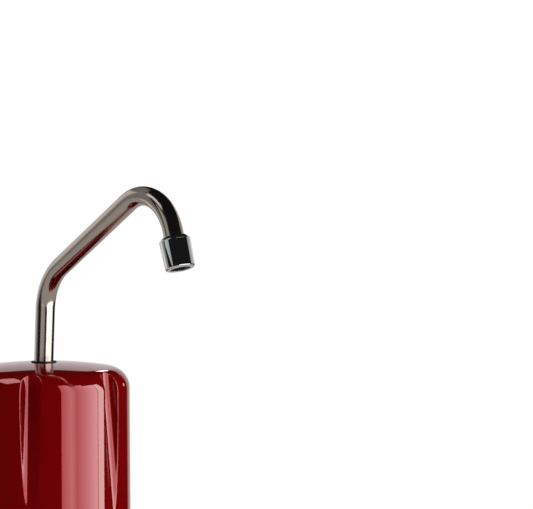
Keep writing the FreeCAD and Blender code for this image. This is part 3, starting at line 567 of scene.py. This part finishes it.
# plated, turned or rolled metal: spots of water mark change the roughness and the tone a little
def plainMetal(name, colour, roughness, marks):
    material = bpy.data.materials.new(name)
    material.use_nodes = True
    tree = material.node_tree
    nodes = tree.nodes
    links = tree.links
    nodes.clear()
    place = nodes.new("ShaderNodeTexCoord")
    place.label = "place on the metal"
    spots = nodes.new("ShaderNodeTexNoise")
    spots.label = "water marks"
    spots.inputs["Scale"].default_value = 220.0
    spots.inputs["Detail"].default_value = 4.0
    spotRange = nodes.new("ShaderNodeMapRange")
    spotRange.label = "marks to roughness"
    spotRange.inputs["From Min"].default_value = 0.35
    spotRange.inputs["From Max"].default_value = 0.75
    spotRange.inputs["To Min"].default_value = roughness
    spotRange.inputs["To Max"].default_value = roughness + marks
    tone = nodes.new("ShaderNodeMix")
    tone.label = "metal tone"
    tone.data_type = "RGBA"
    tone.inputs["A"].default_value = (*colour, 1)
    tone.inputs["B"].default_value = (colour[0] * 0.93, colour[1] * 0.93, colour[2] * 0.92, 1)
    shader = nodes.new("ShaderNodeBsdfPrincipled")
    shader.label = "metal"
    shader.inputs["Metallic"].default_value = 1.0
    output = nodes.new("ShaderNodeOutputMaterial")
    layOut(tree, {"marks": [place, spots, spotRange], "surface": [tone, shader, output]})
    links.new(place.outputs["Object"], spots.inputs["Vector"])
    links.new(spots.outputs["Fac"], spotRange.inputs["Value"])
    links.new(spots.outputs["Fac"], tone.inputs["Factor"])
    links.new(tone.outputs["Result"], shader.inputs["Base Color"])
    links.new(spotRange.outputs["Result"], shader.inputs["Roughness"])
    links.new(shader.outputs["BSDF"], output.inputs["Surface"])
    return material


# moulded plastic or rubber: a fine grain in relief, and dust in the colour
def grainedPlastic(name, colour, dust, roughness, grainSize, relief):
    material = bpy.data.materials.new(name)
    material.use_nodes = True
    tree = material.node_tree
    nodes = tree.nodes
    links = tree.links
    nodes.clear()
    place = nodes.new("ShaderNodeTexCoord")
    place.label = "place on the piece"
    grain = nodes.new("ShaderNodeTexNoise")
    grain.label = "mould grain"
    grain.inputs["Scale"].default_value = 1 / grainSize
    grain.inputs["Detail"].default_value = 3.0
    grainBump = nodes.new("ShaderNodeBump")
    grainBump.label = "grain as relief"
    grainBump.inputs["Strength"].default_value = relief
    grainBump.inputs["Distance"].default_value = grainSize * 0.3
    dusting = nodes.new("ShaderNodeTexNoise")
    dusting.label = "dust and wear"
    dusting.inputs["Scale"].default_value = 90.0
    dusting.inputs["Detail"].default_value = 6.0
    dustRange = nodes.new("ShaderNodeMapRange")
    dustRange.label = "where dust shows"
    dustRange.inputs["From Min"].default_value = 0.45
    dustRange.inputs["From Max"].default_value = 0.85
    tone = nodes.new("ShaderNodeMix")
    tone.label = "clean to dusty"
    tone.data_type = "RGBA"
    tone.inputs["A"].default_value = (*colour, 1)
    tone.inputs["B"].default_value = (*dust, 1)
    shader = nodes.new("ShaderNodeBsdfPrincipled")
    shader.label = "plastic"
    shader.inputs["Roughness"].default_value = roughness
    output = nodes.new("ShaderNodeOutputMaterial")
    layOut(tree, {"grain": [place, grain, grainBump], "dust": [dusting, dustRange, tone],
                  "surface": [shader, output]})
    links.new(place.outputs["Object"], grain.inputs["Vector"])
    links.new(place.outputs["Object"], dusting.inputs["Vector"])
    links.new(grain.outputs["Fac"], grainBump.inputs["Height"])
    links.new(dusting.outputs["Fac"], dustRange.inputs["Value"])
    links.new(dustRange.outputs["Result"], tone.inputs["Factor"])
    links.new(tone.outputs["Result"], shader.inputs["Base Color"])
    links.new(grainBump.outputs["Normal"], shader.inputs["Normal"])
    links.new(shader.outputs["BSDF"], output.inputs["Surface"])
    return material


# loose grains or felted fibre: cells of the given size, each its own tone, standing proud
def packedGrains(name, dark, light, cellSize, roughness):
    material = bpy.data.materials.new(name)
    material.use_nodes = True
    tree = material.node_tree
    nodes = tree.nodes
    links = tree.links
    nodes.clear()
    place = nodes.new("ShaderNodeTexCoord")
    place.label = "place in the bed"
    cells = nodes.new("ShaderNodeTexVoronoi")
    cells.label = "grains"
    cells.inputs["Scale"].default_value = 1 / cellSize
    tone = nodes.new("ShaderNodeMix")
    tone.label = "each grain's tone"
    tone.data_type = "RGBA"
    tone.inputs["A"].default_value = (*dark, 1)
    tone.inputs["B"].default_value = (*light, 1)
    grainBump = nodes.new("ShaderNodeBump")
    grainBump.label = "rounded grains"
    grainBump.invert = True
    grainBump.inputs["Strength"].default_value = 0.8
    grainBump.inputs["Distance"].default_value = cellSize * 0.4
    shader = nodes.new("ShaderNodeBsdfPrincipled")
    shader.label = "bed of grains"
    shader.inputs["Roughness"].default_value = roughness
    output = nodes.new("ShaderNodeOutputMaterial")
    layOut(tree, {"grains": [place, cells, tone, grainBump], "surface": [shader, output]})
    links.new(place.outputs["Object"], cells.inputs["Vector"])
    links.new(cells.outputs["Color"], tone.inputs["Factor"])
    links.new(cells.outputs["Distance"], grainBump.inputs["Height"])
    links.new(tone.outputs["Result"], shader.inputs["Base Color"])
    links.new(grainBump.outputs["Normal"], shader.inputs["Normal"])
    links.new(shader.outputs["BSDF"], output.inputs["Surface"])
    return material


redGloss = redMoulding("red gloss moulding", (0.26, 0.0002, 0.0014), (1.0, 0.42, 0.44))
spoutSteel = drawnSteel("drawn steel", (0.50, 0.44, 0.395), 0.13)
brightChrome = plainMetal("bright plating", (0.78, 0.79, 0.80), 0.03, 0.05)
brassMetal = plainMetal("machined brass", (0.72, 0.50, 0.22), 0.22, 0.15)
springSteel = plainMetal("rolled steel", (0.60, 0.60, 0.58), 0.25, 0.15)
blackPlastic = grainedPlastic("black moulding", (0.012, 0.012, 0.012), (0.03, 0.028, 0.026), 0.38, 0.4 * mm, 0.25)
blackRubber = grainedPlastic("black rubber", (0.018, 0.018, 0.018), (0.06, 0.055, 0.05), 0.72, 0.5 * mm, 0.4)
whitePlastic = grainedPlastic("white moulding", (0.72, 0.72, 0.70), (0.55, 0.53, 0.49), 0.30, 0.6 * mm, 0.12)
greyPlastic = grainedPlastic("grey moulding", (0.30, 0.31, 0.32), (0.38, 0.37, 0.35), 0.34, 0.5 * mm, 0.15)
cartridgeWhite = grainedPlastic("cartridge moulding", (0.76, 0.76, 0.74), (0.62, 0.60, 0.56), 0.33, 0.6 * mm, 0.1)
feltPad = packedGrains("felted pad", (0.62, 0.59, 0.52), (0.82, 0.80, 0.74), 0.5 * mm, 0.95)
copperZinc = packedGrains("copper and zinc grains", (0.42, 0.24, 0.09), (0.75, 0.56, 0.30), 0.9 * mm, 0.45)
carbonGrains = packedGrains("carbon grains", (0.006, 0.006, 0.006), (0.04, 0.04, 0.04), 1.2 * mm, 0.6)
mineralGrains = packedGrains("mineral grains", (0.45, 0.40, 0.32), (0.82, 0.78, 0.70), 2.2 * mm, 0.7)

newPieceFinish = {
    housingShell: redGloss,
    spoutTube: spoutSteel,
    aeratorSleeve: brightChrome,
    aeratorInsert: blackPlastic,
    spoutBush: blackPlastic,
}
for piece, finish in newPieceFinish.items():
    piece.data.materials.append(finish)

slotFinish = {
    "red_gloss": redGloss,
    "red_gloss_base": redGloss,
    "black_rubber": blackRubber,
    "foot_rubber": blackRubber,
    "white_plastic": whitePlastic,
    "grey_plastic": greyPlastic,
    "spring_steel": springSteel,
    "cartridge_white": cartridgeWhite,
    "filter_felt": feltPad,
    "copper_zinc": copperZinc,
    "carbon": carbonGrains,
    "mineral": mineralGrains,
    "black_plastic": blackPlastic,
    "brass": brassMetal,
    "spout_steel": spoutSteel,
    "bright_chrome": brightChrome,
}
for entry in frame["record"]["subparts"]:
    node = frame["nodes"][entry["node"]]
    for materialSlot in node.material_slots:
        materialSlot.material = slotFinish[entry["material_slot"]]
print("materials made")

# camera, floor and light

view = {
    "azimuth": -26.25,            # degrees; 0 looks along +Y
    "distance": 1600 * mm,
    "sideways": 146.04 * mm,      # how far the object stands left of the view's middle
    "aboveDome": 137.8 * mm,
    "pitch": 2.411,               # degrees down
    "lens": 165.2,
    "sensorWidth": 36,
    "farClip": 50,                # metres
}


# a point at an azimuth from the camera's side of the object, positive to the viewer's right, and an elevation
def aroundObject(azimuth, elevation, distance, height):
    towards = math.radians(view["azimuth"] + azimuth - 90)
    level = distance * math.cos(math.radians(elevation))
    return Vector((level * math.cos(towards), level * math.sin(towards),
                   height + distance * math.sin(math.radians(elevation))))


def placeCamera(v):
    data = bpy.data.cameras.new("camera")
    data.lens = v["lens"]
    data.sensor_width = v["sensorWidth"]
    data.clip_end = v["farClip"]
    camera = bpy.data.objects.new("camera", data)
    toViewer = aroundObject(0, 0, v["distance"], housing["apexHeight"] + v["aboveDome"])
    rightward = aroundObject(90, 0, v["sideways"], 0)
    camera.location = toViewer + rightward
    camera.rotation_euler = (math.radians(90 - v["pitch"]), 0, math.radians(v["azimuth"]))
    bpy.context.scene.collection.objects.link(camera)
    bpy.context.scene.camera = camera


placeCamera(view)

floor = {
    "radius": 1.28,
    "colour": (0.80, 0.79, 0.77),
    "sides": 96,
}


# matt paint, rolled on: slow patches of tone and a fine stipple in relief
def mattPaint(name, colour):
    material = bpy.data.materials.new(name)
    material.use_nodes = True
    tree = material.node_tree
    nodes = tree.nodes
    links = tree.links
    nodes.clear()
    place = nodes.new("ShaderNodeTexCoord")
    place.label = "place on the floor"
    patches = nodes.new("ShaderNodeTexNoise")
    patches.label = "patches of paint"
    patches.inputs["Scale"].default_value = 4.0
    patches.inputs["Detail"].default_value = 3.0
    tone = nodes.new("ShaderNodeMix")
    tone.label = "paint tone"
    tone.data_type = "RGBA"
    tone.inputs["A"].default_value = (colour[0] * 0.98, colour[1] * 0.98, colour[2] * 0.98, 1)
    tone.inputs["B"].default_value = (colour[0] * 1.02, colour[1] * 1.02, colour[2] * 1.02, 1)
    stipple = nodes.new("ShaderNodeTexNoise")
    stipple.label = "roller stipple"
    stipple.inputs["Scale"].default_value = 700.0
    stippleBump = nodes.new("ShaderNodeBump")
    stippleBump.label = "stipple as relief"
    stippleBump.inputs["Strength"].default_value = 0.08
    stippleBump.inputs["Distance"].default_value = 0.0003
    shader = nodes.new("ShaderNodeBsdfPrincipled")
    shader.label = "matt paint"
    shader.inputs["Roughness"].default_value = 0.7
    output = nodes.new("ShaderNodeOutputMaterial")
    layOut(tree, {"tone": [place, patches, tone], "stipple": [stipple, stippleBump], "surface": [shader, output]})
    links.new(place.outputs["Object"], patches.inputs["Vector"])
    links.new(place.outputs["Object"], stipple.inputs["Vector"])
    links.new(patches.outputs["Fac"], tone.inputs["Factor"])
    links.new(tone.outputs["Result"], shader.inputs["Base Color"])
    links.new(stipple.outputs["Fac"], stippleBump.inputs["Height"])
    links.new(stippleBump.outputs["Normal"], shader.inputs["Normal"])
    links.new(shader.outputs["BSDF"], output.inputs["Surface"])
    return material


# one flat disc: a ring of points with its middle closed
def makeFloor(v):
    turn = np.linspace(0, 2 * math.pi, v["sides"], endpoint=False)
    points = np.stack([v["radius"] * np.cos(turn), v["radius"] * np.sin(turn), np.zeros(v["sides"])], axis=-1)
    piece = surfaceFromGrid("floor", points[None], capStart=True)
    piece.data.materials.append(mattPaint("pale floor", v["colour"]))
    return piece


floorDisc = makeFloor(floor)

# upright lit panels round the object, in order: azimuths from and to (degrees); bottom, top and distance (metres);
# radiance and colour at the first azimuth; radiance and colour at the last; which group of pieces the panel lights
softLights = {
    "tall panel, inner": (27.6, 41.0, 0.0, 1.48, 1.1, 1.6, (1.0, 0.56, 0.57), 2.2, (1.0, 0.88, 0.88), "notSpout"),
    "tall panel, middle": (41.0, 48.4, 0.0, 1.40, 1.1, 2.2, (1.0, 0.86, 0.86), 1.6, (1.0, 0.66, 0.67), "notSpout"),
    "tall panel, outer": (48.4, 64.0, 0.0, 1.24, 1.1, 1.6, (1.0, 0.68, 0.69), 2.3, (1.0, 0.99, 1.0), "notSpout"),
    "tall panel, far": (64.0, 79.0, 0.0, 1.06, 1.1, 2.3, (1.0, 0.99, 1.0), 3.8, (0.78, 0.97, 1.0), "notSpout"),
    "tall panel, warm seam": (79.0, 80.4, 0.0, 1.04, 1.1, 1.8, (1.0, 0.75, 0.40), 1.8, (1.0, 0.75, 0.40), "notSpout"),
    "tall panel, edge": (80.4, 89.9, 0.0, 1.03, 1.1, 4.4, (0.68, 1.0, 0.92), 4.4, (0.68, 1.0, 0.92), "notSpout"),
    "low panel": (27, 101, 0.0, 0.50, 0.68, 2.6, (1.0, 1.0, 1.0), 2.2, (1.0, 1.0, 1.0), "tube"),
    "left rear wall": (-152, -107, 0.0, 1.05, 1.1, 0.9, (1.0, 0.97, 0.92), 0.75, (1.0, 0.95, 0.9), "spout"),
    "left rear wall, high": (-166, -107, 1.05, 2.3, 1.1, 0.22, (1.0, 0.95, 0.9), 0.27, (1.0, 0.95, 0.9), "tube"),
    "left wall": (-107, -84, 0.0, 1.5, 1.1, 0.28, (1.0, 0.97, 0.95), 0.28, (1.0, 0.97, 0.95), "spout"),
    "left strip": (-74, -43, 0.40, 0.98, 1.1, 0.6, (0.95, 1.0, 1.0), 0.4, (0.95, 1.0, 1.0), "spout"),
    "low front wall": (-45, 3, 0.0, 0.52, 1.1, 0.55, (1.0, 0.97, 0.94), 0.45, (1.0, 0.97, 0.94), "tube"),
    "right rear wall": (98, 152, 0.42, 1.0, 1.1, 0.30, (1.0, 1.0, 0.98), 0.80, (1.0, 1.0, 0.98), "spout"),
    "low right strip": (5, 85, 0.0, 0.385, 1.1, 2.0, (0.95, 1.0, 1.0), 2.0, (0.95, 1.0, 1.0), "aerator"),
    "high right strip": (12, 80, 0.99, 1.14, 1.1, 0.55, (0.95, 1.0, 1.0), 0.55, (0.95, 1.0, 1.0), "aerator"),
    "bright edge behind": (172.3, 175.3, 0.71, 0.84, 1.1, 12.0, (1.0, 1.0, 1.0), 12.0, (1.0, 1.0, 1.0), "body"),
    "right edge behind": (138.0, 141.8, 0.345, 0.45, 1.1, 2.2, (1.0, 0.97, 0.92), 2.2, (1.0, 0.97, 0.92), "body"),
}

# which pieces a light reaches; "notSpout" names the pieces that it leaves out
lightGroups = {
    "spout": ("INCLUDE", [spoutTube, aeratorSleeve, aeratorInsert]),
    "tube": ("INCLUDE", [spoutTube]),
    "aerator": ("INCLUDE", [aeratorSleeve]),
    "body": ("INCLUDE", [housingShell]),
    "floor": ("INCLUDE", [floorDisc]),
    "notSpout": ("EXCLUDE", [spoutTube, aeratorSleeve, aeratorInsert, floorDisc]),
}


def makeLightGroups():
    made = {}
    for name, (state, pieces) in lightGroups.items():
        made[name] = bpy.data.collections.new(name)
        for i, piece in enumerate(pieces):
            made[name].objects.link(piece)
            made[name].collection_objects[i].light_linking.link_state = state
    return made


receivers = makeLightGroups()


# an area light whose radiance runs evenly from its first edge to its last
def placePanel(name, azimuthFrom, azimuthTo, bottom, top, distance,
               radianceFrom, colourFrom, radianceTo, colourTo, lit):
    middle = (azimuthFrom + azimuthTo) / 2
    width = 2 * distance * math.tan(math.radians((azimuthTo - azimuthFrom) / 2))
    data = bpy.data.lights.new(name, "AREA")
    data.shape = "RECTANGLE"
    data.size = width
    data.size_y = top - bottom
    data.energy = math.pi * width * (top - bottom)
    data.use_nodes = True
    tree = data.node_tree
    nodes = tree.nodes
    links = tree.links
    nodes.clear()
    place = nodes.new("ShaderNodeNewGeometry")
    place.label = "place on the panel"
    apart = nodes.new("ShaderNodeSeparateXYZ")
    apart.label = "across the panel"
    across = nodes.new("ShaderNodeMix")
    across.label = "first edge to last"
    across.data_type = "RGBA"
    across.inputs["A"].default_value = (*(radianceFrom * c for c in colourFrom), 1)
    across.inputs["B"].default_value = (*(radianceTo * c for c in colourTo), 1)
    glow = nodes.new("ShaderNodeEmission")
    glow.label = "panel"
    glow.inputs["Strength"].default_value = 1.0
    output = nodes.new("ShaderNodeOutputLight")
    layOut(tree, {"panel": [place, apart, across, glow, output]})
    links.new(place.outputs["Parametric"], apart.inputs["Vector"])
    links.new(apart.outputs["X"], across.inputs["Factor"])
    links.new(across.outputs["Result"], glow.inputs["Color"])
    links.new(glow.outputs["Emission"], output.inputs["Surface"])
    lamp = bpy.data.objects.new(name, data)
    lamp.location = aroundObject(middle, 0, distance, (bottom + top) / 2)
    lamp.rotation_euler = (math.radians(90), 0, math.radians(view["azimuth"] + middle))
    lamp.visible_camera = False
    lamp.light_linking.receiver_collection = receivers[lit]
    bpy.context.scene.collection.objects.link(lamp)


for name, settings in softLights.items():
    placePanel(name, *settings)

# large soft lights aimed at the dome, in order: azimuth and elevation (degrees); distance, width and height (metres);
# radiance; colour; whether it shows in gloss; which group of pieces it lights
fillLights = {
    "high box, left": (-80, 60, 1.3, 0.62, 0.48, 2.1, (1.0, 0.98, 0.97), True, "body"),
    "high box, left, for the spout": (-70, 50, 1.3, 0.75, 0.40, 1.0, (0.95, 1.0, 1.0), True, "spout"),
    "front fill": (-55, 15, 2.0, 1.6, 1.4, 1.5, (1.0, 0.98, 0.96), False, "notSpout"),
    "rear fill": (150, 15, 2.2, 1.6, 1.4, 0.9, (1.0, 0.99, 0.98), False, "notSpout"),
    "floor light": (20, 88, 2.2, 3.4, 3.4, 1.7, (1.0, 0.99, 0.975), False, "floor"),
}


# an even area light, turned to face the dome's apex
def placeFill(name, azimuth, elevation, distance, width, height, radiance, colour, shows, lit):
    data = bpy.data.lights.new(name, "AREA")
    data.shape = "RECTANGLE"
    data.size = width
    data.size_y = height
    data.energy = radiance * math.pi * width * height
    data.color = colour
    lamp = bpy.data.objects.new(name, data)
    target = Vector((0, 0, housing["apexHeight"]))
    lamp.location = aroundObject(azimuth, elevation, distance, housing["apexHeight"])
    lamp.rotation_euler = (target - lamp.location).to_track_quat("-Z", "Y").to_euler()
    lamp.visible_camera = False
    lamp.visible_glossy = shows
    lamp.light_linking.receiver_collection = receivers[lit]
    bpy.context.scene.collection.objects.link(lamp)


for name, settings in fillLights.items():
    placeFill(name, *settings)

# the room: white to the eye; in reflections a white backdrop low behind the object, and dim elsewhere
room = {
    "backdropTop": 19.1,          # degrees above the horizon
    "topFade": 0.006,             # as a sine
    "backdropSides": 27,          # degrees each side of straight behind
    "sideFade": (0.008, 0.004),   # outside and inside the edge, as cosines
    "middleFrom": 0.985,          # as a cosine
    "backdropMiddle": 0.80,
    "backdropEdge": 0.45,
    "dim": 0.010,
}


# a grey by direction: the backdrop inside its sides and under its top, the dim room everywhere else
def makeRoom(v):
    world = bpy.data.worlds.new("room")
    world.use_nodes = True
    tree = world.node_tree
    nodes = tree.nodes
    links = tree.links
    nodes.clear()
    direction = nodes.new("ShaderNodeTexCoord")
    direction.label = "direction"
    facing = nodes.new("ShaderNodeVectorMath")
    facing.label = "how far behind"
    facing.operation = "DOT_PRODUCT"
    facing.inputs[1].default_value = aroundObject(180, 0, 1, 0)
    across = nodes.new("ShaderNodeValToRGB")
    across.label = "backdrop from its side to its middle"
    side = math.cos(math.radians(v["backdropSides"]))
    outside, inside = v["sideFade"]
    stops = [(side - outside, v["dim"]), (side + inside, v["backdropEdge"]), (v["middleFrom"], v["backdropMiddle"])]
    for place, grey in stops:
        stop = across.color_ramp.elements.new(place)
        stop.color = (grey, grey, grey, 1)
    across.color_ramp.elements.remove(across.color_ramp.elements[0])
    across.color_ramp.elements.remove(across.color_ramp.elements[-1])
    apart = nodes.new("ShaderNodeSeparateXYZ")
    apart.label = "height of the direction"
    tall = nodes.new("ShaderNodeMapRange")
    tall.label = "backdrop's top edge"
    edge = math.sin(math.radians(v["backdropTop"]))
    tall.inputs["From Min"].default_value = edge + v["topFade"]
    tall.inputs["From Max"].default_value = edge - v["topFade"]
    level = nodes.new("ShaderNodeMix")
    level.label = "dim room or backdrop"
    level.data_type = "RGBA"
    level.inputs["A"].default_value = (v["dim"], v["dim"], v["dim"], 1)
    reflected = nodes.new("ShaderNodeBackground")
    reflected.label = "what the object mirrors"
    seen = nodes.new("ShaderNodeBackground")
    seen.label = "what the eye sees"
    seen.inputs["Color"].default_value = (1, 1, 1, 1)
    ray = nodes.new("ShaderNodeLightPath")
    ray.label = "seen directly"
    choose = nodes.new("ShaderNodeMixShader")
    choose.label = "mirrored or seen"
    output = nodes.new("ShaderNodeOutputWorld")
    layOut(tree, {"backdrop": [direction, facing, across], "height": [apart, tall, level],
                  "light": [reflected, seen, ray, choose, output]})
    links.new(direction.outputs["Generated"], facing.inputs[0])
    links.new(direction.outputs["Generated"], apart.inputs["Vector"])
    links.new(facing.outputs["Value"], across.inputs["Fac"])
    links.new(apart.outputs["Z"], tall.inputs["Value"])
    links.new(tall.outputs["Result"], level.inputs["Factor"])
    links.new(across.outputs["Color"], level.inputs["B"])
    links.new(level.outputs["Result"], reflected.inputs["Color"])
    links.new(ray.outputs["Is Camera Ray"], choose.inputs["Fac"])
    links.new(reflected.outputs["Background"], choose.inputs[1])
    links.new(seen.outputs["Background"], choose.inputs[2])
    links.new(choose.outputs["Shader"], output.inputs["Surface"])
    bpy.context.scene.world = world


makeRoom(room)
bpy.context.scene.view_settings.view_transform = "Standard"
print("camera, floor and light placed")
